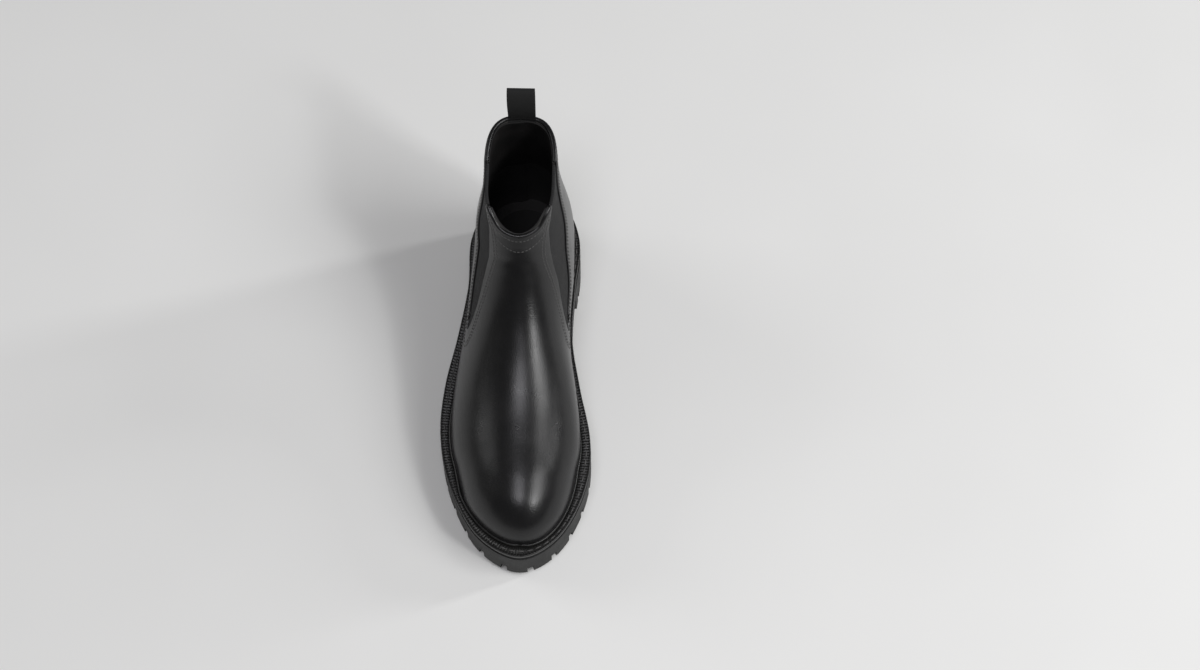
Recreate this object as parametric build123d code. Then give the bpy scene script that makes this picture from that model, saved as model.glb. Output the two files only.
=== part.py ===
from build123d import *
import math
import os

# Right chelsea boot, lug sole. Millimetres, +Z up, standing on Z = 0, toe towards -Y, inner (medial) side towards +X.
# "along" is the distance from the back of the heel towards the toe, "across" the distance from the heel's centre line.

# Driving dimensions
SOLE_LENGTH = 280.0
HEEL_SEAT_HEIGHT = 41.0  # welt top at the heel
HEEL_DROP = 11.5  # from the heel seat down to the ball
TOE_SPRING = 5.5  # rise of the welt top from ball to toe
DROP_START, DROP_LENGTH = 40.0, 145.0
SPRING_START, SPRING_LENGTH = 190.0, 90.0

WELT_THICKNESS = 3.0
MIDSOLE_THICKNESS = 3.0
OUTSOLE_OFFSET = WELT_THICKNESS + MIDSOLE_THICKNESS  # outsole top below the welt top
MIDSOLE_INSET = 0.8
WELT_INSET = 0.3
LUG_HEIGHT = 7.0
LUG_COUNT = 34  # round the edge
HEEL_BLOCK_HEIGHT = 24.0
HEEL_BREAST = 76.0
FORE_TREAD_START = 106.0

LEATHER = 1.6
INTERLINING = 0.9
LINING = 0.9
LAYER_GAP = 0.05
CUFF_GAP = 0.4
RAND_WIDTH, RAND_HEIGHT = 1.4, 2.0
BACKSTAY_THICKNESS, BACKSTAY_WIDTH = 1.2, 16.0

COLLAR_BACK_HEIGHT = 165.0
GORE_TOP_HEIGHT = 157.5
FLEX_HEIGHT = 99.0  # height of the cuff's hinge line at the centre back
COLLAR_BACK_ALONG = 12.2  # outer face of the leather at the back of the collar

TAB_WIDTH, TAB_THICKNESS, TAB_TOP = 18.5, 1.1, 200.0
TAB_PIVOT_HEIGHT, TAB_ROLL = 166.8, 1.3
TAB_ALONG = COLLAR_BACK_ALONG + 2.1  # the loop's middle plane, between leather and lining

FILLER_THICKNESS, BOARD_THICKNESS, SOCK_THICKNESS = 1.5, 2.2, 2.5
BOARD_TOP = FILLER_THICKNESS + BOARD_THICKNESS - WELT_THICKNESS  # above the welt top
HEEL_PAD_THICKNESS = 1.2
SHANK_WIDTH, SHANK_START, SHANK_END = 13.0, 48.0, 158.0

STITCH_PITCH, STITCH_LENGTH, STITCH_WIDTH, STITCH_HEIGHT = 6.4, 4.2, 1.0, 0.7
STITCH_INSET = 1.9
NAIL_RADIUS, NAIL_BOTTOM, NAIL_TOP = 1.1, 12.0, 33.0
NAIL_PLACES = [(16, 0), (26, 17), (26, -17), (46, 19), (46, -19)]

# Outsole outline, (along, across): up the medial side from heel to toe, then back down the lateral side.
OUTSOLE_OUTLINE = [
    (0, 0), (10.5, 27), (37, 38.5), (76, 36.5), (115, 35.5), (150, 41.5), (188, 49.5), (215, 49.5),
    (241, 42.5), (262.5, 31), (275.5, 17), (280, 4), (276, -10), (263.5, -26), (243, -39), (215, -50),
    (183, -55), (150, -53), (115, -46), (76, -40), (37, -39), (10.5, -27),
]

# Sections of the upper, as planes square to the side view. Each row: (along, height) of the section's low or back
# end, (along, height) of its top or front end, centre offset at each end, half width, share of the section's
# length at which it is widest, squareness of its low end and of its top end (2 is an ellipse).
SECTIONS = [
    ((222, 19), (270.8, 28.0), -2.4, 4.5, 38.2, 0.08, 4.0, 1.42),
    ((221, 19), (271.8, 41.0), -2.4, 4.5, 38.6, 0.10, 4.0, 1.50),
    ((219, 19), (267.2, 53.0), -2.2, 4.5, 39.1, 0.14, 4.0, 1.62),
    ((215, 19), (255.8, 63.0), -1.5, 4.0, 40.0, 0.16, 4.0, 1.75),
    ((207, 18), (238.0, 69.5), -2.0, 3.5, 41.6, 0.20, 4.0, 1.88),
    ((195, 18), (213.0, 74.5), -3.0, 3.0, 44.4, 0.25, 4.0, 1.92),
    ((178, 18), (187.0, 81.0), -4.8, 3.0, 44.4, 0.28, 3.2, 1.90),
    ((155, 20), (163.0, 91.0), -6.0, 2.5, 42.0, 0.28, 2.7, 1.85),
    ((128, 23), (142.0, 103.0), -6.0, 2.0, 38.3, 0.28, 3.0, 1.80),
    ((97, 27), (127.0, 114.0), -3.9, 1.5, 36.2, 0.29, 3.0, 1.80),
    ((62, 30), (117.0, 123.5), -1.2, 1.0, 36.0, 0.30, 3.2, 1.86),
    ((34, 30), (111.5, 129.5), 0.0, 0.5, 35.3, 0.31, 3.2, 1.94),
    ((13, 31), (108.0, 133.5), 0.0, 0.5, 34.8, 0.32, 2.6, 2.02),
    ((5.2, 41), (105.5, 137.0), 0.0, 0.2, 34.0, 0.34, 2.3, 2.15),
    ((3.2, 60), (103.2, 140.5), 0.0, 0.0, 32.5, 0.36, 2.25, 2.30),
    ((4.2, 80), (101.5, 144.0), 0.0, 0.0, 30.3, 0.39, 2.3, 2.50),
    ((8.0, 103), (99.5, 148.5), 0.0, 0.0, 27.7, 0.42, 2.5, 2.80),
    ((11.2, 125), (98.0, 153.0), 0.0, 0.0, 25.9, 0.45, 2.8, 3.20),
    ((12.2, 147), (96.8, 158.5), 0.0, 0.0, 24.9, 0.47, 3.0, 3.50),
    ((12.2, 172), (96.0, 172.0), 0.0, 0.0, 24.4, 0.48, 3.0, 3.60),
]
LOW_ANGLES = (90, 62, 38, 17)  # around the low end of a section
TOP_ANGLES = (0, 18, 37, 56, 74, 90)  # around its top end

# Side-view lines of the panels, (along, height)
GORE_EDGE = [
    (76, 180), (81, 159), (90, 138), (103, 113), (119, 86), (130, 71), (131.5, 64), (126.5, 60),
    (117, 63), (99, 75), (82, 90), (69, 104), (54, 138), (45, 160), (39, 180),
]
VAMP_TOP = [(66, 160), (78, 161), (86, 158.5), (93, 152.5), (104, 149)]
QUARTER_TOP = [(-8, 165.6), (12, 165), (30, 163.2), (44, 160), (54, 156)]
FLEX_LINE = [(-12, FLEX_HEIGHT), (20, FLEX_HEIGHT - 0.5), (52, FLEX_HEIGHT - 1.7), (88, FLEX_HEIGHT - 3.5)]
SEAM_LINE = [(114, 67), (108, 50), (104, 20)]
GORE_TUCK = 5.0  # how far the elastic runs in under the leather
PUFF_LINE = [(222, 0), (244, 100)]

Y_HEEL = SOLE_LENGTH / 2


def beside(edge, reach, closed=True, count=72):
    """Points evenly spaced along an edge, moved to its left by reach, in the edge's own plane."""
    last = count if closed else count - 1
    normal = Vector(0, 0, 1) if closed else Vector(1, 0, 0)
    return [edge @ (i / last) + normal.cross(edge % (i / last)) * reach for i in range(count)]


def make_outline(inset=0.0, shift=0.0):
    """Flat face of the sole outline, moved inward by inset, in the XY plane."""
    points = [(across + shift, Y_HEEL - along) for along, across in OUTSOLE_OUTLINE]
    edge = Spline(*points, periodic=True)
    if inset:
        edge = Spline(*beside(edge, -inset), periodic=True)
    face = make_face(edge).face()
    return face if face.normal_at().Z > 0 else -face


bare_box = make_outline().bounding_box()
HEEL_AXIS_X = -(bare_box.min.X + bare_box.max.X) / 2  # puts the outsole's middle at X = 0


def outline(inset=0.0):
    return make_outline(inset, HEEL_AXIS_X)


def place(along, across, height):
    return Vector(across + HEEL_AXIS_X, Y_HEEL - along, height)


def ease(share):
    share = min(1.0, max(0.0, share))
    return share * share * (3 - 2 * share)


def welt_top(along):
    """Height of the welt's top face along the boot."""
    drop = HEEL_DROP * ease((along - DROP_START) / DROP_LENGTH)
    spring = TOE_SPRING * max(0.0, (along - SPRING_START) / SPRING_LENGTH) ** 2
    return HEEL_SEAT_HEIGHT - drop + spring


def tread_base(along):
    """Height of the forepart lugs' roots."""
    return LUG_HEIGHT + TOE_SPRING * max(0.0, (along - SPRING_START) / SPRING_LENGTH) ** 2


def side_curve(height_at, start=-12.0, end=292.0, steps=16):
    points = [start + (end - start) * i / steps for i in range(steps + 1)]
    return [(along, height_at(along)) for along in points]


def side_face(*runs):
    """Face in the side view bounded by runs of (along, height) points. A run of more than two points is a smooth
    curve, and straight lines join the runs."""
    edges, first, last = [], None, None
    for run in runs:
        points = [Vector(0, Y_HEEL - along, height) for along, height in run]
        if last is not None and (points[0] - last).length > 1e-6:
            edges.append(Line(last, points[0]))
        edges.append(Spline(*points) if len(points) > 2 else Line(*points))
        first = first if first is not None else points[0]
        last = points[-1]
    if (last - first).length > 1e-6:
        edges.append(Line(last, first))
    face = make_face(edges).face()
    return face if face.normal_at().X > 0 else -face


def side_prism(*runs, low=-90.0, high=90.0):
    """Solid with the given side view, from X = low to X = high."""
    face = side_face(*runs)
    return Pos(low, 0, 0) * extrude(face, high - low, dir=(1, 0, 0))


def band(low_at, high_at, start=-12.0, end=292.0):
    """Slab between two height profiles, over the sole's whole width."""
    return side_prism(side_curve(low_at, start, end), side_curve(high_at, start, end)[::-1])


def section_points(row, inset):
    """Points round one section of the upper, from its low end up the medial side and back down the lateral."""
    (low_along, low_height), (top_along, top_height), low_x, top_x, half, widest, low_power, top_power = row
    run, rise = top_along - low_along, top_height - low_height
    length = math.hypot(run, rise)
    start, end = inset / length, 1 - inset / length
    half -= inset

    def point(share, across):
        middle = low_x + (top_x - low_x) * share
        share = start + (end - start) * share
        return place(low_along + run * share, middle + across, low_height + rise * share)

    side = []
    for angle in LOW_ANGLES:
        depth, reach = math.sin(math.radians(angle)), max(0.0, math.cos(math.radians(angle)))
        width = half * reach ** (2 / low_power) if angle < 90 else 0.0
        side.append((widest * (1 - depth ** (2 / low_power)), width))
    for angle in TOP_ANGLES:
        depth, reach = math.sin(math.radians(angle)), max(0.0, math.cos(math.radians(angle)))
        width = half * reach if angle < 90 else 0.0
        side.append((widest + (1 - widest) * depth ** (2 / top_power), width))
    return [point(*spot) for spot in side] + [point(share, -width) for share, width in side[-2:0:-1]]


def last_form(inset):
    """Closed solid of the upper's outer surface, moved inward by inset (outward if negative)."""
    rings = [section_points(row, inset) for row in SECTIONS]
    count = len(rings[0])
    steps = []
    for i in range(count):
        steps.append(sum((ring[(i + 1) % count] - ring[i]).length for ring in rings))
    knots = [sum(steps[:i]) / sum(steps) for i in range(count + 1)]
    wires = [Wire([Edge.make_spline(ring, periodic=True, parameters=knots)]) for ring in rings]
    return Solid.make_loft(wires)


def node(*shapes):
    """One compound of every solid in the shapes given, with specks dropped."""
    solids = [solid for shape in shapes for solid in shape.solids() if solid.volume > 1.0]
    return solids[0] if len(solids) == 1 else Compound(children=solids)


def channel(along, across, angle, length, width):
    """Plan of one straight channel of the tread."""
    return Pos(across + HEEL_AXIS_X, Y_HEEL - along) * Rot(0, 0, angle) * Rectangle(length, width)


def tread_channels():
    """Plan of the channels between the lugs: notches in the edge, a ring, cross channels and a spine."""
    edge = outline().outer_wire()
    cuts = []
    for i in range(LUG_COUNT):
        at = (i + 0.5) / LUG_COUNT
        spot, run = edge @ at, edge % at
        angle = math.degrees(math.atan2(run.Y, run.X)) + 90
        cuts.append(Pos(spot.X, spot.Y) * Rot(0, 0, angle) * Rectangle(30, 4.6))
    cuts += [channel(along, -1, 0, 44, 3.4) for along in range(14, 260, 22)]
    cuts.append(channel(140, -1, 90, 214, 3.4))
    return outline(16) - outline(19.5) + cuts


def tread_bottom(along):
    return tread_base(along) - LUG_HEIGHT


def outsole_top(along):
    return welt_top(along) - OUTSOLE_OFFSET


def make_sole():
    full = extrude(outline(), 60)
    channels = Pos(0, 0, -5) * extrude(tread_channels(), 45)
    nails = [
        Pos(place(along, across, (NAIL_BOTTOM + NAIL_TOP) / 2)) * Cylinder(NAIL_RADIUS, NAIL_TOP - NAIL_BOTTOM)
        for along, across in NAIL_PLACES
    ]
    heel = side_prism(
        [(HEEL_BREAST - 4, 0), (HEEL_BREAST, HEEL_BLOCK_HEIGHT)], [(-12, HEEL_BLOCK_HEIGHT), (-12, 0)]
    )
    seat = [(-12, HEEL_BLOCK_HEIGHT), (HEEL_BREAST, HEEL_BLOCK_HEIGHT)]
    waist = [(HEEL_BREAST, HEEL_BLOCK_HEIGHT), (84, 18), (94, 13.5), (103, 11)]
    ball = [(FORE_TREAD_START, 0), (SPRING_START, 0)]
    toe = side_curve(tread_bottom, SPRING_START, 292, 8)
    fore_channels = channels & side_prism([(98, -3), (98, LUG_HEIGHT)], side_curve(tread_base, 98, 292, 14), [(292, -3), (98, -3)])
    heel_channels = channels & side_prism([(-12, LUG_HEIGHT), (90, LUG_HEIGHT)], [(90, -3), (-12, -3)])
    outsole = (full & side_prism(seat, waist, ball, toe, side_curve(outsole_top)[::-1])) - nails
    midsole = extrude(outline(MIDSOLE_INSET), 60) & band(outsole_top, lambda along: welt_top(along) - WELT_THICKNESS)
    return {
        "outsole": node(outsole - fore_channels),
        "heel_block": node((full & heel) - nails - heel_channels),
        "heel_nails": node(*nails),
        "midsole": node(midsole),
    }


def make_welt(outer):
    ring = extrude(outline(WELT_INSET), 60) & band(lambda along: welt_top(along) - WELT_THICKNESS, welt_top)
    rand = (last_form(-RAND_WIDTH) - outer) & band(welt_top, lambda along: welt_top(along) + RAND_HEIGHT)
    track = outline(STITCH_INSET).outer_wire()
    count = round(track.length / STITCH_PITCH)
    stitches = []
    for i in range(count):
        spot, run = track @ (i / count), track % (i / count)
        along = Y_HEEL - spot.Y
        slope = math.degrees(math.atan2(welt_top(along + 1) - welt_top(along - 1), 2))
        turn = math.degrees(math.atan2(run.Y, run.X))
        height = welt_top(along) + STITCH_HEIGHT / 2 + LAYER_GAP
        lie = Pos(spot.X, spot.Y, height) * Rot(-slope, 0, 0) * Rot(0, 0, turn)
        stitches.append(lie * Box(STITCH_LENGTH, STITCH_WIDTH, STITCH_HEIGHT))
    return {"welt": node(ring - outer), "storm_rand": node(rand), "welt_stitching": node(*stitches)}


def make_footbed(inner):
    def layer(low, high):
        return inner & band(lambda along: welt_top(along) + low, lambda along: welt_top(along) + high)

    bottom = -WELT_THICKNESS
    strip = side_prism(
        [(SHANK_START, 0), (SHANK_END, 0)], [(SHANK_END, 70), (SHANK_START, 70)],
        low=HEEL_AXIS_X - SHANK_WIDTH / 2 - 2, high=HEEL_AXIS_X + SHANK_WIDTH / 2 - 2,
    )
    filler = layer(bottom, bottom + FILLER_THICKNESS)
    sock = layer(BOARD_TOP, BOARD_TOP + SOCK_THICKNESS)
    pad_top = BOARD_TOP + SOCK_THICKNESS + HEEL_PAD_THICKNESS
    pad = layer(BOARD_TOP + SOCK_THICKNESS, pad_top) & Pos(place(38, 0, 45)) * Cylinder(22, 40)
    return {
        "cork_filler": node(filler - strip),
        "shank": node(filler & strip),
        "insole_board": node(layer(bottom + FILLER_THICKNESS, BOARD_TOP)),
        "sock_liner": node(sock),
        "heel_pad": node(pad),
    }


def make_zones():
    """Side-view regions of the panels, each as a prism across the boot's width."""
    sky, ground = 190, 0
    foot = side_curve(lambda along: welt_top(along) - WELT_THICKNESS)
    above_foot = side_prism(foot, [(292, sky), (-12, sky)])
    gore = side_prism(GORE_EDGE)
    ahead = side_prism(
        [(58, sky), (62, 150)], [(88, 104), (114, 67)], SEAM_LINE, [(104, ground), (300, ground)], [(300, sky), (58, sky)]
    )
    vamp_cap = side_prism(VAMP_TOP, [(300, 149), (300, ground)], [(40, ground), (40, 160)])
    gore_cap = side_prism([(30, GORE_TOP_HEIGHT + 0.4), (92, GORE_TOP_HEIGHT - 1)], [(160, ground), (30, ground)])
    quarter_cap = side_prism(QUARTER_TOP, [(130, 150), (130, ground)], [(-20, ground), (-20, 165.6)])
    raised = [(along, height + CUFF_GAP) for along, height in FLEX_LINE]
    above_flex = side_prism(raised, [(130, 90), (130, sky)], [(-20, sky), (-20, FLEX_HEIGHT + CUFF_GAP)])
    below_flex = side_prism(FLEX_LINE, [(130, 90), (130, ground)], [(-20, ground), (-20, FLEX_HEIGHT)])
    behind = above_foot - ahead
    gore_line = Spline(*[(0, Y_HEEL - along, height) for along, height in GORE_EDGE])
    tucked = [(Y_HEEL - spot.Y, spot.Z) for spot in beside(gore_line, -GORE_TUCK, False, 24)]
    return {
        "gore": gore & gore_cap,
        "gore_tucked": side_prism(tucked) & gore_cap,
        "vamp": (ahead & vamp_cap & above_foot) - gore,
        "base": (behind & below_flex) - gore,
        "cuff": (behind & above_flex & quarter_cap) - gore,
    }


def across_box(width, low, high, reach=60.0):
    """Box of the given width about the heel's centre line, over the back of the boot."""
    return Pos(HEEL_AXIS_X, Y_HEEL - reach / 2 + 10, (low + high) / 2) * Box(width, reach, high - low)


def make_upper(forms):
    zones = make_zones()
    outer, under_leather, over_middle, under_middle, over_lining, inner = forms
    leather, middle, inside = outer - under_leather, over_middle - under_middle, over_lining - inner
    elastic = over_middle - inner
    middle_x = HEEL_AXIS_X + 0.03  # just off the forms' own seam
    lateral, medial = (Pos(middle_x + side * 60, 0, 90) * Box(120, 400, 240) for side in (-1, 1))
    drop = Pos(0, 0, -0.8)  # the lining's edge sits a little below the leather's
    puff = side_prism(PUFF_LINE, [(300, 100), (300, 0)])

    vamp_middle = (middle & zones["vamp"]) - zones["gore_tucked"]
    cuff_leather = leather & zones["cuff"]
    cuff_lining = inside & zones["cuff"] & drop * zones["cuff"]
    ends = middle & zones["cuff"] & across_box(TAB_WIDTH, 146, 180, 30)
    cuff_middle = (middle & zones["cuff"]) - zones["gore_tucked"] - across_box(TAB_WIDTH + 0.2, 145.9, 180, 30)
    stay = (last_form(-BACKSTAY_THICKNESS) - outer) & zones["cuff"] & across_box(BACKSTAY_WIDTH, 0, 200, 30)
    gores = (elastic & zones["gore"]) + (middle & zones["gore_tucked"])
    return {
        "vamp": node(leather & zones["vamp"]),
        "toe_puff": node(vamp_middle & puff),
        "vamp_interlining": node(vamp_middle - puff),
        "vamp_lining": node(inside & zones["vamp"] & drop * zones["vamp"]),
        "quarter_base": node(leather & zones["base"]),
        "heel_counter": node((middle & zones["base"]) - zones["gore_tucked"]),
        "heel_grip": node(inside & zones["base"]),
        "quarter_lateral": node(cuff_leather & lateral),
        "quarter_medial": node(cuff_leather & medial),
        "quarter_interlining": node(cuff_middle),
        "quarter_lining_lateral": node(cuff_lining & lateral),
        "quarter_lining_medial": node(cuff_lining & medial),
        "backstay": node(stay),
        "pull_tab_ends": node(ends),
        "gore_lateral": node(gores & lateral),
        "gore_medial": node(gores & medial),
    }


def make_pull_tab():
    """Loop of webbing standing over the back of the collar. Its foot is a round roll about the hinge line."""
    half_gap = TAB_ROLL - TAB_THICKNESS / 2
    low = (TAB_PIVOT_HEIGHT + 0.5)
    side = [(half_gap, low), (1.6, 172), (3.4, 181), (4.4, 190), (3.2, 196.5), (0, TAB_TOP - TAB_THICKNESS / 2)]
    front = [(TAB_ALONG + reach, height) for reach, height in side]
    back = [(TAB_ALONG - reach, height) for reach, height in side[-2::-1]]
    outer_edge = loop_edge(front, back, TAB_THICKNESS / 2)
    inner_edge = loop_edge(front, back, -TAB_THICKNESS / 2)
    ribbon = side_prism(outer_edge, low=HEEL_AXIS_X - TAB_WIDTH / 2, high=HEEL_AXIS_X + TAB_WIDTH / 2)
    space = side_prism(inner_edge, low=-60, high=60)
    roll = Pos(place(TAB_ALONG, 0, TAB_PIVOT_HEIGHT)) * Rot(0, 90, 0) * Cylinder(TAB_ROLL, TAB_WIDTH)
    return node((ribbon - space) + roll)


def loop_edge(front, back, reach):
    """The loop's side-view line moved outward by reach."""
    line = front + back
    moved = []
    for i, (along, height) in enumerate(line):
        before, after = line[max(0, i - 1)], line[min(len(line) - 1, i + 1)]
        run, rise = after[0] - before[0], after[1] - before[1]
        size = math.hypot(run, rise)
        moved.append((along + reach * rise / size, height - reach * run / size))
    return moved


def main():
    os.makedirs("parts", exist_ok=True)
    depths = [0.0, LEATHER]
    for thickness in (INTERLINING, LINING):
        depths += [depths[-1] + LAYER_GAP, depths[-1] + LAYER_GAP + thickness]
    forms = [last_form(depth) for depth in depths]
    parts = make_sole() | make_welt(forms[0]) | make_footbed(forms[-1]) | make_upper(forms)
    parts["pull_tab"] = make_pull_tab()
    for name, shape in parts.items():
        export_step(shape, f"parts/{name}.step")


main()
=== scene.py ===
import math

import bpy
import numpy as np
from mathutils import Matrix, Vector


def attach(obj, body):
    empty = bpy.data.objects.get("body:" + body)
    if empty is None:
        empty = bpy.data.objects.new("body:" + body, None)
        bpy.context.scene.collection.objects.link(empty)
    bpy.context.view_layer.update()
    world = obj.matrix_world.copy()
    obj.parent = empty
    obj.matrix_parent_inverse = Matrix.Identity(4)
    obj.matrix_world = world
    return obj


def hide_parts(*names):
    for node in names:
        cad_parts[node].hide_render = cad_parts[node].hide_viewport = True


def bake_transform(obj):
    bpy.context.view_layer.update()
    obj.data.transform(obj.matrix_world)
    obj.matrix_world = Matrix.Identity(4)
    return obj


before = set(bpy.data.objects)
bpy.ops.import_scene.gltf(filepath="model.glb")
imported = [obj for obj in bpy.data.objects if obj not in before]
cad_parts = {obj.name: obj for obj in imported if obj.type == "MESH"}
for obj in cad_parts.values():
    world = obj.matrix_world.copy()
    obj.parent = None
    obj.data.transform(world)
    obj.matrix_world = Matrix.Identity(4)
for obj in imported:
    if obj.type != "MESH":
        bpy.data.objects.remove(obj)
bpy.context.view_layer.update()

AX, Y_HEEL = 2.3762, 140.0  # the heel's centre line and the heel's back, mm
LEATHER = 1.6  # thickness of the upper's leather, mm
SIDES = ((-1, "lateral"), (1, "medial"))

# ---------------------------------------------------------------- the upper's surface, as in the CAD
SECTIONS = [
    ((222, 19), (270.8, 28.0), -2.4, 4.5, 38.2, 0.08, 4.0, 1.42),
    ((221, 19), (271.8, 41.0), -2.4, 4.5, 38.6, 0.10, 4.0, 1.50),
    ((219, 19), (267.2, 53.0), -2.2, 4.5, 39.1, 0.14, 4.0, 1.62),
    ((215, 19), (255.8, 63.0), -1.5, 4.0, 40.0, 0.16, 4.0, 1.75),
    ((207, 18), (238.0, 69.5), -2.0, 3.5, 41.6, 0.20, 4.0, 1.88),
    ((195, 18), (213.0, 74.5), -3.0, 3.0, 44.4, 0.25, 4.0, 1.92),
    ((178, 18), (187.0, 81.0), -4.8, 3.0, 44.4, 0.28, 3.2, 1.90),
    ((155, 20), (163.0, 91.0), -6.0, 2.5, 42.0, 0.28, 2.7, 1.85),
    ((128, 23), (142.0, 103.0), -6.0, 2.0, 38.3, 0.28, 3.0, 1.80),
    ((97, 27), (127.0, 114.0), -3.9, 1.5, 36.2, 0.29, 3.0, 1.80),
    ((62, 30), (117.0, 123.5), -1.2, 1.0, 36.0, 0.30, 3.2, 1.86),
    ((34, 30), (111.5, 129.5), 0.0, 0.5, 35.3, 0.31, 3.2, 1.94),
    ((13, 31), (108.0, 133.5), 0.0, 0.5, 34.8, 0.32, 2.6, 2.02),
    ((5.2, 41), (105.5, 137.0), 0.0, 0.2, 34.0, 0.34, 2.3, 2.15),
    ((3.2, 60), (103.2, 140.5), 0.0, 0.0, 32.5, 0.36, 2.25, 2.30),
    ((4.2, 80), (101.5, 144.0), 0.0, 0.0, 30.3, 0.39, 2.3, 2.50),
    ((8.0, 103), (99.5, 148.5), 0.0, 0.0, 27.7, 0.42, 2.5, 2.80),
    ((11.2, 125), (98.0, 153.0), 0.0, 0.0, 25.9, 0.45, 2.8, 3.20),
    ((12.2, 147), (96.8, 158.5), 0.0, 0.0, 24.9, 0.47, 3.0, 3.50),
    ((12.2, 172), (96.0, 172.0), 0.0, 0.0, 24.4, 0.48, 3.0, 3.60),
]
ROWS = np.array([[b[0], b[1], t[0], t[1], *rest] for b, t, *rest in SECTIONS], float)
OUTLINE = [
    (0, 0), (10.5, 27), (37, 38.5), (76, 36.5), (115, 35.5), (150, 41.5), (188, 49.5), (215, 49.5),
    (241, 42.5), (262.5, 31), (275.5, 17), (280, 4), (276, -10), (263.5, -26), (243, -39), (215, -50),
    (183, -55), (150, -53), (115, -46), (76, -40), (37, -39), (10.5, -27),
]
GORE_EDGE = [
    (76, 180), (81, 159), (90, 138), (103, 113), (119, 86), (130, 71), (131.5, 64), (126.5, 60),
    (117, 63), (99, 75), (82, 90), (69, 104), (54, 138), (45, 160), (39, 180),
]
VAMP_TOP = [(66, 160), (78, 161), (86, 158.5), (93, 152.5), (104, 149)]
QUARTER_TOP = [(-8, 165.6), (12, 165), (30, 163.2), (44, 160), (54, 156)]
SEAM_LINE = [(114, 67), (108, 50), (104, 20)]


def cubic(points, closed=False, per=24):
    """Smooth line through points: centripetal Catmull-Rom, sampled."""
    p = np.array(points, float)
    n = len(p)
    out = []
    spans = n if closed else n - 1
    for i in range(spans):
        if closed:
            a, b, c, d = p[(i - 1) % n], p[i], p[(i + 1) % n], p[(i + 2) % n]
        else:
            b, c = p[i], p[i + 1]
            a = p[i - 1] if i else 2 * b - c
            d = p[i + 2] if i + 2 < n else 2 * c - b
        k = [0.0]
        for q, r in ((a, b), (b, c), (c, d)):
            k.append(k[-1] + max(1e-6, np.linalg.norm(r - q)) ** 0.5)
        for t in np.linspace(k[1], k[2], per, endpoint=False):
            a1 = (k[1] - t) / (k[1] - k[0]) * a + (t - k[0]) / (k[1] - k[0]) * b
            a2 = (k[2] - t) / (k[2] - k[1]) * b + (t - k[1]) / (k[2] - k[1]) * c
            a3 = (k[3] - t) / (k[3] - k[2]) * c + (t - k[2]) / (k[3] - k[2]) * d
            b1 = (k[2] - t) / (k[2] - k[0]) * a1 + (t - k[0]) / (k[2] - k[0]) * a2
            b2 = (k[3] - t) / (k[3] - k[1]) * a2 + (t - k[1]) / (k[3] - k[1]) * a3
            out.append((k[2] - t) / (k[2] - k[1]) * b1 + (t - k[1]) / (k[2] - k[1]) * b2)
    if not closed:
        out.append(p[-1])
    return np.array(out)


def resample(line, count, closed=False):
    """The line as evenly spaced points."""
    line = np.asarray(line, float)
    if closed:
        line = np.vstack([line, line[:1]])
    d = np.r_[0, np.cumsum(np.linalg.norm(np.diff(line, axis=0), axis=1))]
    at = np.linspace(0, d[-1], count, endpoint=not closed)
    return np.stack([np.interp(at, d, line[:, k]) for k in range(line.shape[1])], 1)


def line_length(line):
    return float(np.linalg.norm(np.diff(line, axis=0), axis=1).sum())


STEPS = 48
FINE = cubic(ROWS, per=STEPS)  # rows between the sections; parameter v counts sections
V_MAX = len(ROWS) - 1.0


def row_at(v):
    """The section's numbers at a place between the sections."""
    at = np.clip(v, 0, V_MAX) * STEPS
    return np.stack([np.interp(at, np.arange(len(FINE)), FINE[:, k]) for k in range(FINE.shape[1])], -1)


def skin(v, phi, side, inset):
    """Points of the upper's surface in metres. phi runs from -90 (low end) to 90 degrees (top end)."""
    v, phi = np.broadcast_arrays(np.asarray(v, float), np.asarray(phi, float))
    r = row_at(v)
    run, rise = r[..., 2] - r[..., 0], r[..., 3] - r[..., 1]
    length = np.hypot(run, rise)
    half, widest, low_p, top_p = r[..., 6] - inset, r[..., 7], r[..., 8], r[..., 9]
    s, c = np.abs(np.sin(phi)), np.maximum(0, np.cos(phi))
    low = phi < 0
    share = np.where(low, widest * (1 - s ** (2 / low_p)), widest + (1 - widest) * s ** (2 / top_p))
    width = np.where(low, half * c ** (2 / low_p), half * c)
    middle = r[..., 4] + (r[..., 5] - r[..., 4]) * share
    share = inset / length + (1 - 2 * inset / length) * share
    x = AX + middle + side * width
    y = Y_HEEL - (r[..., 0] + run * share)
    z = r[..., 1] + rise * share
    return np.stack([x, y, z], -1) / 1000


def locate(points):
    """(v, phi) of side-view points (along, height) on the upper's surface."""
    out = []
    for along, height in np.asarray(points, float):
        b, t = FINE[:, 0:2], FINE[:, 2:4]
        d = t - b
        across = (along - b[:, 0]) * d[:, 1] - (height - b[:, 1]) * d[:, 0]
        share = ((along - b[:, 0]) * d[:, 0] + (height - b[:, 1]) * d[:, 1]) / (d ** 2).sum(1)
        flips = np.where(np.diff(np.sign(across)) != 0)[0]
        good = [i for i in flips if -0.06 < share[i] < 1.06]
        i = good[0] if good else int(np.argmin(np.abs(across)))
        f = 0.0
        if i + 1 < len(across) and across[i] != across[i + 1]:
            f = across[i] / (across[i] - across[i + 1])
        v = (i + f) / STEPS
        share = share[i] + f * (share[min(i + 1, len(share) - 1)] - share[i])
        r = row_at(np.array(v))
        widest, low_p, top_p = r[7], r[8], r[9]
        if share < widest:
            phi = -math.asin(min(1, max(0, 1 - share / widest)) ** (low_p / 2))
        else:
            phi = math.asin(min(1, max(0, (share - widest) / (1 - widest))) ** (top_p / 2))
        out.append((v, phi))
    return np.array(out)


def ease(t):
    """Smooth step from 0 to 1."""
    t = np.clip(t, 0, 1)
    return t * t * (3 - 2 * t)


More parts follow.
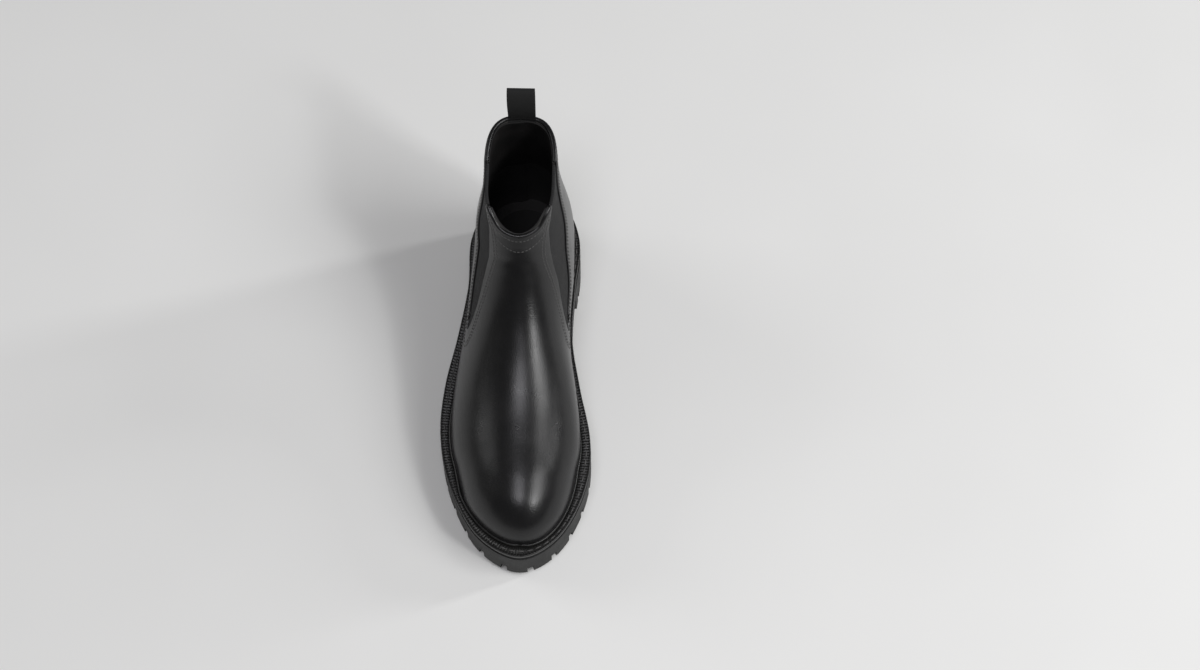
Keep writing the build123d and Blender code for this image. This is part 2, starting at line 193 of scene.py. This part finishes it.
def welt_top(along):
    """Height of the welt's top, mm: down from the heel to the ball, then up with the toe spring."""
    spring = 5.5 * np.maximum(0, (np.asarray(along) - 190) / 90.0) ** 2
    return 41.0 - 11.5 * ease((np.asarray(along) - 40.0) / 145.0) + spring


def feather():
    """Side-view line where the upper meets the welt, heel to toe."""
    a = np.linspace(4.6, 270.8, 240)
    return np.stack([a, welt_top(a)], 1)


# ---------------------------------------------------------------- meshes
def make_mesh(name, verts, faces, uvs=None):
    mesh = bpy.data.meshes.new(name)
    points = [tuple(v) for v in np.asarray(verts).reshape(-1, 3)]
    mesh.from_pydata(points, [], [tuple(map(int, f)) for f in faces])
    mesh.update()
    if uvs is not None:
        layer = mesh.uv_layers.new(name="UVMap")
        uvs = np.asarray(uvs).reshape(-1, 2)
        loops = np.zeros(len(mesh.loops), int)
        mesh.loops.foreach_get("vertex_index", loops)
        layer.data.foreach_set("uv", uvs[loops].astype(np.float32).ravel())
    mesh.shade_smooth()
    obj = bpy.data.objects.new(name, mesh)
    bpy.context.scene.collection.objects.link(obj)
    return obj


def grid_faces(rows, cols, start=0, flip=False, wrap=False):
    """Four-sided faces over a grid of points. A wrapped grid joins its last column to its first."""
    faces = []
    for i in range(rows - 1):
        low, high = start + i * cols, start + (i + 1) * cols
        for j in range(cols if wrap else cols - 1):
            k = (j + 1) % cols
            quad = (low + j, low + k, high + k, high + j)
            faces.append(quad[::-1] if flip else quad)
    return faces


def coons(bottom, top, left, right, smooth):
    """Grid of (v, phi) inside four boundary lines, evened out by so many smoothing rounds.

    bottom and top run left to right, left and right run bottom to top.
    """
    s = np.linspace(0, 1, len(bottom))[None, :, None]
    t = np.linspace(0, 1, len(left))[:, None, None]
    grid = (1 - t) * bottom[None] + t * top[None] + (1 - s) * left[:, None] + s * right[:, None]
    low = (1 - s) * (1 - t) * bottom[0] + s * (1 - t) * bottom[-1]
    grid = grid - (low + (1 - s) * t * top[0] + s * t * top[-1])
    for _ in range(smooth):
        inner = (grid[:-2, 1:-1] + grid[2:, 1:-1] + grid[1:-1, :-2] + grid[1:-1, 2:]) / 4
        grid[1:-1, 1:-1] = inner
    return grid


def spaced(count, fine):
    """Parameters from 0 to 1, closer together near both ends."""
    t = np.linspace(0, 1, count - 4)
    return np.r_[0, fine * 0.35, fine, t[1:-1], 1 - fine, 1 - fine * 0.35, 1]


def regrid(grid, rows_at, cols_at):
    """The grid read at other places along its rows and its columns, each from 0 to 1."""
    r = np.linspace(0, 1, grid.shape[0])
    c = np.linspace(0, 1, grid.shape[1])
    tall = np.stack([[np.interp(rows_at, r, column) for column in grid[..., k].T] for k in (0, 1)])
    wide = np.stack([[np.interp(cols_at, c, row) for row in part.T] for part in tall])
    return np.moveaxis(wide, 0, -1)


def edge_ring(rows, cols):
    """Indices of a grid's points round its border."""
    rim = [(0, j) for j in range(cols)] + [(i, cols - 1) for i in range(1, rows)]
    rim += [(rows - 1, j) for j in range(cols - 2, -1, -1)] + [(i, 0) for i in range(rows - 2, 0, -1)]
    return [i * cols + j for i, j in rim]


EDGE_FINE = 0.6 / 90  # share of a panel's width that the fine rows at its edges take


def panel(name, grid, side, depth=0.0, thick=LEATHER, roll=0.35):
    """Closed panel over a (v, phi) grid, from depth to depth + thick below the surface, with rolled edges.

    side is -1 or 1, or one of them for each column. A grid with a side for each column keeps its columns.
    """
    rows, cols = grid.shape[:2]
    rows_at = spaced(rows + 4, EDGE_FINE)
    cols_at = spaced(cols + 4, EDGE_FINE) if np.ndim(side) == 0 else np.linspace(0, 1, cols)
    grid = regrid(grid, rows_at, cols_at)
    rows, cols = grid.shape[:2]
    fall_r = np.zeros(rows)
    fall_c = np.zeros(cols)
    for fall in (fall_r, fall_c):
        fall[:2] = (roll, roll * 0.25)
        fall[-2:] = (roll * 0.25, roll)
    inset = depth + np.maximum(fall_r[:, None], fall_c[None, :])
    outer = skin(grid[..., 0], grid[..., 1], side, inset)
    inner = skin(grid[..., 0], grid[..., 1], side, np.full((rows, cols), depth + thick))
    n = rows * cols
    flip = bool(np.ravel(side)[0] > 0)
    faces = grid_faces(rows, cols, 0, flip) + grid_faces(rows, cols, n, not flip)
    ids = edge_ring(rows, cols)
    for a, b in zip(ids, ids[1:] + ids[:1]):
        quad = (a, a + n, b + n, b)
        faces.append(quad[::-1] if flip else quad)
    across = np.r_[0, np.cumsum(np.linalg.norm(np.diff(outer[rows // 2], axis=0), axis=1))]
    up = np.r_[0, np.cumsum(np.linalg.norm(np.diff(outer[:, cols // 2], axis=0), axis=1))]
    uv = np.stack(np.broadcast_arrays(across[None, :], up[:, None]), -1)
    verts = np.vstack([outer.reshape(-1, 3), inner.reshape(-1, 3)])
    return make_mesh(name, verts, faces, np.vstack([uv.reshape(-1, 2)] * 2))


def cut(line, a, b):
    """Stretch of a sampled line between its points nearest to a and b, in that order."""
    i = int(np.argmin(np.linalg.norm(line - np.array(a), axis=1)))
    j = int(np.argmin(np.linalg.norm(line - np.array(b), axis=1)))
    return line[i:j + 1] if i <= j else line[j:i + 1][::-1]


gore_line = cubic(GORE_EDGE, per=30)
vamp_top = cubic(VAMP_TOP, per=30)
quarter_top = cubic(QUARTER_TOP, per=30)
seam = cubic(SEAM_LINE, per=30)
COLLAR_HEIGHT = 160.0
front_part = gore_line[:90]
rear_part = gore_line[len(gore_line) // 2:]
peak = front_part[np.argmin(np.abs(front_part[:, 1] - COLLAR_HEIGHT))]
corner = rear_part[np.argmin(np.abs(rear_part[:, 1] - COLLAR_HEIGHT))]
seam_top = np.array(SEAM_LINE[0], float)
foot = feather()
seam_low = seam[np.argmin(np.abs(seam[:, 1] - welt_top(seam[:, 0])))]


def to_grid(line, count):
    """(v, phi) of evenly spaced points on a side-view line."""
    return locate(resample(line, count))


SMOOTH_ROUNDS = 400


def vamp_grid():
    """Half of the vamp: from the welt up to the collar, and from the side seam and the gore to the middle."""
    rows, cols = 110, 150
    toe_path = np.vstack([seam_low[None], foot[foot[:, 0] > seam_low[0]]])
    bottom = to_grid(toe_path, cols)
    tip_v = bottom[-1, 0]
    bottom[-1, 1] = math.pi / 2
    top_line = np.vstack([peak[None], vamp_top[vamp_top[:, 0] > peak[0]]])
    spots = locate(resample(top_line, 60))
    end = next((i for i, (v, phi) in enumerate(spots) if phi > math.pi / 2 - 0.02), len(spots) - 1)
    centre_v = spots[end, 0]
    top = resample(np.vstack([spots[:end], [[centre_v, math.pi / 2]]]), cols)
    side_line = np.vstack([cut(seam, seam_low, seam_top), cut(gore_line, seam_top, peak)[1:]])
    left = to_grid(side_line, rows)
    right = np.stack([np.linspace(tip_v, centre_v, rows), np.full(rows, math.pi / 2)], 1)
    return coons(bottom, top, left, right, SMOOTH_ROUNDS)


def quarter_grid():
    """Half of the back: from the welt up to the collar, and from the heel to the seam and gore."""
    rows, cols = 110, 90
    heel = foot[foot[:, 0] < seam_low[0]]
    bottom = to_grid(np.vstack([heel, seam_low[None]]), cols)
    bottom[0, 1] = -math.pi / 2
    back_top = locate([(12.25, 165.0)])[0, 0]
    top_line = quarter_top[(quarter_top[:, 0] > 12.4) & (quarter_top[:, 0] < corner[0])]
    top = np.vstack([[[back_top, -math.pi / 2]], locate(np.vstack([top_line, corner[None]]))])
    top = resample(top, cols)
    side_line = np.vstack([cut(seam, seam_low, seam_top), cut(gore_line, seam_top, corner)[1:]])
    right = to_grid(side_line, rows)
    left = np.stack([np.linspace(bottom[0, 0], back_top, rows), np.full(rows, -math.pi / 2)], 1)
    return coons(bottom, top, left, right, SMOOTH_ROUNDS)


# ---------------------------------------------------------------- materials
def material(name):
    mat = bpy.data.materials.new(name)
    mat.use_nodes = True
    nodes, links = mat.node_tree.nodes, mat.node_tree.links
    nodes.clear()
    out = nodes.new("ShaderNodeOutputMaterial")
    shader = nodes.new("ShaderNodeBsdfPrincipled")
    links.new(shader.outputs[0], out.inputs[0])
    return mat, nodes, links, shader


def add(nodes, kind, **values):
    node = nodes.new(kind)
    for key, value in values.items():
        if key in node.inputs:
            node.inputs[key].default_value = value
        else:
            setattr(node, key, value)
    return node


def texture_space(nodes, kind="Object"):
    return nodes.new("ShaderNodeTexCoord").outputs[kind]


def ramp(nodes, links, source, low, high, a=0.3, b=0.7):
    node = nodes.new("ShaderNodeValToRGB")
    for element, position, color in zip(node.color_ramp.elements, (a, b), (low, high)):
        element.position = position
        element.color = (*color, 1)
    links.new(source, node.inputs[0])
    return node.outputs[0]


def raised(nodes, links, height, depth):
    """Bump of the given depth, in metres, from a height texture."""
    bump = add(nodes, "ShaderNodeBump", Strength=1.0, Distance=depth)
    links.new(height, bump.inputs["Height"])
    return bump


def rounded(nodes, links, bump, radius):
    """Softens the mesh's sharp edges under a bump."""
    round_edge = add(nodes, "ShaderNodeBevel", Radius=radius, samples=6)
    links.new(round_edge.outputs[0], bump.inputs["Normal"])


def grainy(name, dark, light, rough, grain, depth, noise_scale=60, bevel=0.0, crease=0.0, specular=0.5):
    """A leather-like or moulded surface: tone and gloss drift, cell grain and fine noise in the bump."""
    mat, nodes, links, shader = material(name)
    space = texture_space(nodes)
    drift = add(nodes, "ShaderNodeTexNoise", Scale=noise_scale, Detail=4.0, Roughness=0.6)
    links.new(space, drift.inputs["Vector"])
    links.new(ramp(nodes, links, drift.outputs[0], dark, light), shader.inputs["Base Color"])
    gloss = ramp(nodes, links, drift.outputs[0], (rough[0],) * 3, (rough[1],) * 3)
    links.new(gloss, shader.inputs["Roughness"])
    cells = add(nodes, "ShaderNodeTexVoronoi", Scale=grain, feature="SMOOTH_F1")
    links.new(space, cells.inputs["Vector"])
    tiny = add(nodes, "ShaderNodeTexNoise", Scale=grain * 2.2, Detail=3.0)
    links.new(space, tiny.inputs["Vector"])
    mix = add(nodes, "ShaderNodeMath", operation="MULTIPLY_ADD")
    mix.inputs[1].default_value = 0.25
    links.new(tiny.outputs[0], mix.inputs[0])
    links.new(cells.outputs["Distance"], mix.inputs[2])
    bump = raised(nodes, links, mix.outputs[0], depth)
    last = bump
    if crease:
        fold = add(nodes, "ShaderNodeTexNoise", Scale=26.0, Detail=2.0, Roughness=0.45)
        links.new(space, fold.inputs["Vector"])
        last = raised(nodes, links, fold.outputs[0], crease)
        links.new(bump.outputs[0], last.inputs["Normal"])
    if bevel:
        rounded(nodes, links, bump, bevel)
    links.new(last.outputs[0], shader.inputs["Normal"])
    shader.inputs["Specular IOR Level"].default_value = specular
    return mat


def woven(name, dark, light, rib, cross, depth, bevel=0.0):
    """Ribbed webbing: ribs along the second texture direction, crossed by fine yarns."""
    mat, nodes, links, shader = material(name)
    space = texture_space(nodes, "UV")
    ribs = add(nodes, "ShaderNodeTexWave", Scale=rib, bands_direction="X", Distortion=0.15)
    yarns = add(nodes, "ShaderNodeTexWave", Scale=cross, bands_direction="Y", Distortion=0.6)
    for wave in (ribs, yarns):
        wave.inputs["Detail Scale"].default_value = 2.0
        links.new(space, wave.inputs["Vector"])
    both = add(nodes, "ShaderNodeMath", operation="MULTIPLY_ADD")
    both.inputs[1].default_value = 0.35
    links.new(yarns.outputs[1], both.inputs[0])
    links.new(ribs.outputs[1], both.inputs[2])
    # painted shade: the colour follows the bump's height, so the low grooves between ribs and yarns are
    # painted darker than the raised ribs
    links.new(ramp(nodes, links, both.outputs[0], dark, light, 0.1, 1.0), shader.inputs["Base Color"])
    bump = raised(nodes, links, both.outputs[0], depth)
    if bevel:
        rounded(nodes, links, bump, bevel)
    links.new(bump.outputs[0], shader.inputs["Normal"])
    shader.inputs["Roughness"].default_value = 0.85
    return mat


leather = grainy("upper_leather", (0.0030, 0.0030, 0.0035), (0.0055, 0.0053, 0.0058), (0.27, 0.31), 1500,
                 0.00006, crease=0.0006, specular=0.42)
lining = grainy("lining_leather", (0.004, 0.004, 0.004), (0.008, 0.007, 0.007), (0.5, 0.65), 1700, 0.00006)
suede = grainy("heel_suede", (0.003, 0.003, 0.003), (0.006, 0.0055, 0.0055), (0.85, 0.95), 2600, 0.00012)
stiff = grainy("stiffener", (0.02, 0.019, 0.018), (0.035, 0.033, 0.03), (0.8, 0.95), 1500, 0.0001)
board = grainy("board", (0.25, 0.19, 0.12), (0.36, 0.28, 0.19), (0.8, 0.95), 1200, 0.0001)
cork = grainy("cork", (0.16, 0.10, 0.05), (0.34, 0.23, 0.13), (0.85, 0.95), 500, 0.0004, noise_scale=400)
steel = grainy("steel", (0.42, 0.42, 0.44), (0.55, 0.55, 0.57), (0.3, 0.45), 2500, 0.00002)
steel.node_tree.nodes["Principled BSDF"].inputs["Metallic"].default_value = 1.0
rubber = grainy("outsole_rubber", (0.009, 0.009, 0.0088), (0.015, 0.015, 0.0145), (0.55, 0.7), 1900,
                0.00007, bevel=0.0007, specular=0.4)
mid_rubber = grainy("midsole_rubber", (0.012, 0.012, 0.012), (0.02, 0.02, 0.02), (0.45, 0.6), 1900,
                    0.00005, bevel=0.0005)
welt_mat = grainy("welt_leather", (0.006, 0.006, 0.006), (0.013, 0.0125, 0.012), (0.32, 0.45), 1300,
                  0.0001, bevel=0.0004)
thread = grainy("thread", (0.035, 0.034, 0.034), (0.075, 0.073, 0.071), (0.45, 0.6), 4200, 0.00012,
                noise_scale=900)
elastic = woven("elastic", (0.002, 0.002, 0.002), (0.016, 0.016, 0.017), 200, 420, 0.0004)
webbing = woven("webbing", (0.003, 0.003, 0.003), (0.012, 0.012, 0.013), 420, 300, 0.0002, bevel=0.0003)


def dress(obj, mat):
    obj.data.materials.clear()
    obj.data.materials.append(mat)
    return obj


# ---------------------------------------------------------------- leather panels
def both_halves(half):
    """One grid over both sides from a half's grid that ends at the middle, and each column's side."""
    full = np.concatenate([half, half[:, -2::-1]], 1)
    n = half.shape[1]
    return full, np.r_[-np.ones(n), np.ones(n - 1)]


def edge_packed(cells):
    """The grid with one more column close to its free edge, which is its first column."""
    cols = cells.shape[1]
    at = np.r_[0, 0.35, 1.0, np.linspace(0, 1, cols)[1:] * (cols - 1)]
    at = np.unique(np.clip(at, 0, cols - 1))
    c = np.arange(cols)
    return np.stack([[np.interp(at, c, row) for row in cells[..., k]] for k in (0, 1)], -1)


full, sides = both_halves(edge_packed(vamp_grid()))
vamp = dress(panel("vamp_leather", full, sides), leather)
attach(vamp, "boot")
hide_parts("vamp")
full, sides = both_halves(edge_packed(quarter_grid()[:, ::-1]))
quarters = dress(panel("quarter_leather", full, sides), leather)
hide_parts("quarter_base", "quarter_lateral", "quarter_medial")
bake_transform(quarters)


GORE_FOOT = (126.5, 60)


def gore_cells():
    """Grid over a gore: rows run from its foot to the collar, columns from its rear to its front."""
    rows, cols = 90, 60
    left = to_grid(cut(gore_line, GORE_FOOT, corner), rows)
    right = to_grid(cut(gore_line, GORE_FOOT, peak), rows)
    t = np.linspace(0, 1, cols)
    top_line = np.stack([corner[0] + (peak[0] - corner[0]) * t, 157.6 - 1.1 * t], 1)
    cells = np.array([[left[i] + (right[i] - left[i]) * s for s in t] for i in range(rows)])
    top = locate(top_line)
    share = np.clip((np.linspace(0, 1, rows)[:, None, None] - 0.9) / 0.1, 0, 1)
    cells = cells * (1 - share) + share * (cells + (top - cells[-1])[None])
    return cells


gore_grid = gore_cells()
for side, word in SIDES:
    ribbed = panel(f"gore_{word}_elastic", gore_grid, side, depth=1.3, thick=2.1, roll=0.1)
    dress(ribbed, elastic)
    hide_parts(f"gore_{word}")
    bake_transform(ribbed)


# ---------------------------------------------------------------- stitching
SEAM_STITCH = (0.0026, 0.0021, 0.00075, 0.0006)  # pitch, length, width and height, metres
WELT_STITCH = (0.0062, 0.0044, 0.0011, 0.0009)


def capsule_run(name, points, normals, stitch, closed=False):
    """Short rounded stitches laid along a line of points on a surface."""
    pitch, length, width, height = stitch
    points, normals = np.asarray(points), np.asarray(normals)
    if closed:
        points, normals = np.vstack([points, points[:1]]), np.vstack([normals, normals[:1]])
    d = np.r_[0, np.cumsum(np.linalg.norm(np.diff(points, axis=0), axis=1))]
    count = max(2, int(d[-1] / pitch))
    at = (np.arange(count) + 0.5) * d[-1] / count
    verts, faces = [], []
    sides = 8
    ring = [(math.cos(a), math.sin(a)) for a in np.linspace(0, 2 * math.pi, sides, endpoint=False)]
    stations = [(-1.0, 0.25), (-0.8, 0.75), (-0.35, 1.0), (0.35, 1.0), (0.8, 0.75), (1.0, 0.25)]

    def read(values, place):
        return np.array([np.interp(place, d, values[:, c]) for c in range(3)])

    for k in at:
        p = read(points, k)
        along = read(points, min(d[-1], k + 2e-4)) - read(points, max(0, k - 2e-4))
        along = along / np.linalg.norm(along)
        n = read(normals, k)
        n = n - along * (n @ along)
        n /= np.linalg.norm(n)
        across = np.cross(along, n)
        start = len(verts)
        for t, size in stations:
            drop = -0.35 * height * t * t
            for c, s in ring:
                lift = s * height / 2 * size + drop
                verts.append(p + along * t * length / 2 + across * c * width / 2 * size + n * lift)
        faces += grid_faces(len(stations), sides, start, False, True)
        last = start + (len(stations) - 1) * sides
        faces += [tuple(range(start, start + sides)), tuple(range(last + sides - 1, last - 1, -1))]
    return dress(make_mesh(name, verts, faces), thread)


THREAD_LIFT = 0.05  # how far a stitch's centre stands off the leather, mm


def on_sides(spots, inset):
    """Surface points of the same places on the lateral and on the medial side."""
    return [skin(spots[:, 0], spots[:, 1], side, inset) for side, word in SIDES]


def on_skin(line, side):
    """Points just off the surface along a side-view line, and the directions out of the surface."""
    spots = locate(line)
    points = skin(spots[:, 0], spots[:, 1], side, -THREAD_LIFT)
    over = skin(spots[:, 0], spots[:, 1], side, -THREAD_LIFT - 1.0)
    return points, over - points


def shifted(line, reach):
    """Side-view line moved to its left by reach, in mm."""
    run = np.gradient(line, axis=0)
    run /= np.linalg.norm(run, axis=1)[:, None]
    return line + np.stack([-run[:, 1], run[:, 0]], 1) * reach


def smooth_run(line, spacing=1.2):
    return resample(line, max(6, int(line_length(line) / spacing)))


GORE_TURN = (117, 63)
ROW_SETBACKS = (2.1, 4.6)  # of the two stitch rows from the gore's edge, mm
for side, word in SIDES:
    vamp_edge = smooth_run(cut(gore_line, GORE_TURN, peak))
    for k, reach in enumerate(ROW_SETBACKS):
        line = shifted(vamp_edge, -reach)
        line = line[line[:, 1] < 156.5 - 2.0 * k]
        points, normals = on_skin(line, side)
        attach(capsule_run(f"gore_stitch_front_{word}_{k}", points, normals, SEAM_STITCH), "boot")
    rear_edge = smooth_run(cut(gore_line, GORE_TURN, corner))
    for k, reach in enumerate(ROW_SETBACKS):
        line = shifted(rear_edge, reach)
        line = line[line[:, 1] < 158.0 - 1.0 * k]
        points, normals = on_skin(line, side)
        run = capsule_run(f"gore_stitch_rear_{word}_{k}", points, normals, SEAM_STITCH)
        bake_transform(run)


def tube(name, path, radius, sides=10):
    """Round leather cord of the given radius swept along a path."""
    run = np.gradient(path, axis=0)
    run /= np.linalg.norm(run, axis=1)[:, None]
    across = np.cross(run, np.array([0.0, 0.0, 1.0]))
    across /= np.linalg.norm(across, axis=1)[:, None]
    lift = np.cross(across, run)
    verts = []
    for p, a, l in zip(path, across, lift):
        for t in np.linspace(0, 2 * math.pi, sides, endpoint=False):
            verts.append(p + (a * math.cos(t) + l * math.sin(t)) * radius)
    n = len(path)
    faces = grid_faces(n, sides, 0, False, True)
    faces += [tuple(range(sides))[::-1], tuple(range((n - 1) * sides, n * sides))]
    return dress(make_mesh(name, verts, faces), leather)


# the turned edge that covers the layers round the collar
ROLL_INSET, ROLL_RADIUS = 1.55, 0.00165  # mm below the surface, and metres
CENTRE = math.pi / 2
front_line = np.vstack([peak[None] + [0.3, -0.2], vamp_top[vamp_top[:, 0] > peak[0] + 0.6]])
spots = locate(resample(front_line, 80))
spots = spots[spots[:, 1] < CENTRE - 0.01]
lat, med = on_sides(spots, ROLL_INSET)
rim = np.vstack([lat, skin(spots[-1, 0], CENTRE, 1, ROLL_INSET)[None], med[::-1]])
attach(tube("collar_roll_front", resample(rim, 160), ROLL_RADIUS), "boot")
back_line = quarter_top[(quarter_top[:, 0] > 12.6) & (quarter_top[:, 0] < corner[0])]
spots = locate(resample(np.vstack([back_line, corner[None] + [-0.3, -0.2]]), 80))
lat, med = on_sides(spots, ROLL_INSET)
rim = np.vstack([lat[::-1], skin(spots[0, 0], -CENTRE, 1, ROLL_INSET)[None], med])
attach(tube("collar_roll_back", resample(rim, 200), ROLL_RADIUS), "back_cuff")

# collar stitch rows, below the rim by so many mm
for k, drop in enumerate((2.9, 9.5)):
    line = resample(front_line, 120) - [0, drop]
    line = line[line[:, 0] > peak[0] + 1.5 + 1.0 * k]
    spots = locate(line)
    spots = spots[spots[:, 1] < CENTRE - 0.01]
    lat, med = on_sides(spots, -THREAD_LIFT)
    lat_over, med_over = on_sides(spots, -THREAD_LIFT - 1.0)
    points = np.vstack([lat, med[::-1]])
    normals = np.vstack([lat_over - lat, (med_over - med)[::-1]])
    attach(capsule_run(f"collar_stitch_front_{k}", points, normals, SEAM_STITCH), "boot")
    spots = locate(resample(back_line, 140) - [0, drop])
    lat, med = on_sides(spots, -THREAD_LIFT)
    lat_over, med_over = on_sides(spots, -THREAD_LIFT - 1.0)
    points = np.vstack([lat[::-1], med])
    normals = np.vstack([(lat_over - lat)[::-1], med_over - med])
    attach(capsule_run(f"collar_stitch_back_{k}", points, normals, SEAM_STITCH), "back_cuff")


# ---------------------------------------------------------------- welt, bead and welt thread
def in_plan(points):
    """Distance along the sole and out from the heel's centre line, both mm, of points in metres."""
    q = points * 1000
    return np.stack([Y_HEEL - q[:, 1], q[:, 0] - AX], 1)


def ledge_lines(count):
    """The sole's outline, the inward direction at each point, and how far in the upper starts (mm)."""
    ring = resample(cubic(OUTLINE, closed=True, per=40), count, closed=True)
    lateral, medial = on_sides(locate(foot), 0.0)
    shoe = resample(np.vstack([in_plan(medial), in_plan(lateral)[::-1]]), 1600, closed=True)
    run = np.roll(ring, -1, 0) - np.roll(ring, 1, 0)
    run /= np.linalg.norm(run, axis=1)[:, None]
    inward = np.stack([run[:, 1], -run[:, 0]], 1)
    if np.mean(((ring.mean(0) - ring) * inward).sum(1)) < 0:
        inward = -inward
    reach = np.empty(count)
    for i in range(count):
        d = shoe - ring[i]
        off = np.abs(d @ np.array([-inward[i][1], inward[i][0]]))
        ahead = d @ inward[i]
        near = np.where((off < 1.2) & (ahead > 0) & (ahead < 16))[0]
        reach[i] = ahead[near].min() if len(near) else 6.0
    for _ in range(6):
        reach = (np.roll(reach, 1) + reach + np.roll(reach, -1)) / 3
    return ring, inward, reach


def lay(ring, inward, inset, height):
    """Ring of points inset from the outline, at a height above the welt's top, in metres."""
    flat = ring + inward * np.asarray(inset)[:, None]
    z = welt_top(flat[:, 0]) + height
    return np.stack([AX + flat[:, 1], Y_HEEL - flat[:, 0], z], 1) / 1000


COUNT, RIB_COUNT = 2600, 300
ring, inward, reach = ledge_lines(COUNT)
turnings = np.arange(COUNT) * 2 * math.pi * RIB_COUNT / COUNT
hollow = 1 - (0.5 + 0.5 * np.cos(turnings))  # 0 on each rib and 1 between ribs


def level(value):
    return np.full(COUNT, value)


# the welt's section, from the foot of its outer wall over the ribbed top to under the upper
rows = [
    (level(0.35), level(-3.0)),
    (level(0.1), level(-2.4)),
    (level(0.1), level(-0.55)),
    (level(0.35), level(-0.1)),
    (level(0.75), level(0.0)),
    (level(0.95), -0.30 * hollow - 0.05),
    (0.35 + reach * 0.30, 0.22 - 0.45 * hollow),
    (0.2 + reach * 0.5, 0.25 - 0.45 * hollow),
    (reach - 1.75, 0.2 - 0.40 * hollow),
    (reach - 1.45, level(-0.25)),
    (reach + 1.0, level(-0.3)),
    (reach + 1.0, level(-3.0)),
]
verts = np.vstack([lay(ring, inward, inset, height) for inset, height in rows])
faces = grid_faces(len(rows), COUNT, 0, False, True)
last = (len(rows) - 1) * COUNT
for i in range(COUNT):
    k = (i + 1) % COUNT
    faces.append((last + i, last + k, k, i))
welt = make_mesh("welt_ribbed", verts, faces)
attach(dress(welt, welt_mat), "boot")
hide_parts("welt")

# the bead's section is most of a circle, closed under the upper
bead_rows = []
for t in np.linspace(-0.6, math.pi + 0.5, 11):
    inset = reach - 0.35 - math.cos(math.pi - t)
    bead_rows.append(lay(ring, inward, inset, 0.75 + 1.15 * math.sin(t)))
bead_rows.append(lay(ring, inward, reach + 0.6, level(-0.2)))
bead = make_mesh("welt_bead", np.vstack(bead_rows), grid_faces(len(bead_rows), COUNT, 0, True, True))
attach(dress(bead, welt_mat), "boot")
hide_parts("storm_rand")

middle = (reach - 1.4) * 0.5 + 0.25
points = lay(ring, inward, middle, level(0.32))[::4]
run = capsule_run("welt_thread", points, np.tile([0, 0, 1.0], (len(points), 1)), WELT_STITCH, True)
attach(run, "boot")
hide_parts("welt_stitching")


# ---------------------------------------------------------------- stage
def area(name, place, target, size, power, color=(1, 1, 1)):
    data = bpy.data.lights.new(name, "AREA")
    data.shape, data.size, data.size_y = "RECTANGLE", size[0], size[1]
    data.energy, data.color = power, color
    obj = bpy.data.objects.new(name, data)
    bpy.context.scene.collection.objects.link(obj)
    obj.location = place
    obj.rotation_euler = (Vector(target) - Vector(place)).to_track_quat("-Z", "Y").to_euler()


def make_floor():
    bpy.ops.mesh.primitive_plane_add(size=12, location=(0, 0, 0))
    floor = bpy.context.object
    floor.name = "floor"
    mat, nodes, links, shader = material("floor_paper")
    drift = add(nodes, "ShaderNodeTexNoise", Scale=3.0, Detail=3.0)
    links.new(texture_space(nodes), drift.inputs["Vector"])
    tone = ramp(nodes, links, drift.outputs[0], (0.76, 0.76, 0.75), (0.80, 0.80, 0.79))
    links.new(tone, shader.inputs["Base Color"])
    shader.inputs["Roughness"].default_value = 0.9
    floor.data.materials.append(mat)


make_floor()
world = bpy.data.worlds.new("studio")
bpy.context.scene.world = world
world.use_nodes = True
background = world.node_tree.nodes["Background"]
background.inputs[0].default_value = (1.0, 1.0, 0.985, 1)
background.inputs[1].default_value = 0.16
area("key", (1.75, -1.25, 2.2), (0, 0, 0.05), (0.34, 0.34), 15)
area("wide", (2.0, -0.7, 2.3), (0, 0, 0.05), (1.5, 1.5), 38)
area("strip", (2.3, 0.75, 1.1), (0, 0, 0.05), (0.22, 1.0), 16)
area("left", (-2.6, 0.9, 1.5), (0.2, 0, 0), (1.4, 1.4), 14)
area("top", (-0.2, -0.9, 2.9), (0, 0, 0.05), (1.0, 1.0), 22, (0.96, 0.95, 1.0))
bpy.context.scene.view_settings.view_transform = "Standard"

ELEVATION, DISTANCE, TOE_OUT = math.radians(62.9), 1.688, math.radians(1.2)
heading = Vector((0, -math.cos(ELEVATION), math.sin(ELEVATION))) * DISTANCE
target = Vector(((AX + 55.3) / 1000, (Y_HEEL - 94.3) / 1000, 0))


def turn(v):
    """Turns a vector about the upright axis by the angle the toe points out."""
    c, s = math.cos(TOE_OUT), math.sin(TOE_OUT)
    return Vector((v.x * c - v.y * s, v.x * s + v.y * c, v.z))


camera = bpy.data.objects.new("camera", bpy.data.cameras.new("camera"))
bpy.context.scene.collection.objects.link(camera)
camera.location = turn(target + heading)
camera.rotation_euler = turn(heading).to_track_quat("Z", "Y").to_euler()
camera.data.sensor_width, camera.data.lens = 36, 70
camera.data.clip_start, camera.data.clip_end = 0.05, 50
bpy.context.scene.camera = camera

# ---------------------------------------------------------------- carried-over CAD nodes
FINISH = {
    rubber: ["outsole", "heel_block"],
    mid_rubber: ["midsole"],
    cork: ["cork_filler"],
    steel: ["shank", "heel_nails"],
    board: ["insole_board"],
    lining: ["sock_liner", "vamp_lining", "quarter_lining_lateral", "quarter_lining_medial"],
    suede: ["heel_pad", "heel_grip"],
    stiff: ["toe_puff", "vamp_interlining", "heel_counter", "quarter_interlining"],
    leather: ["backstay"],
    webbing: ["pull_tab", "pull_tab_ends"],
}
for mat, names in FINISH.items():
    for name in names:
        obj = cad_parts[name]
        obj.data.materials.clear()
        obj.data.materials.append(mat)
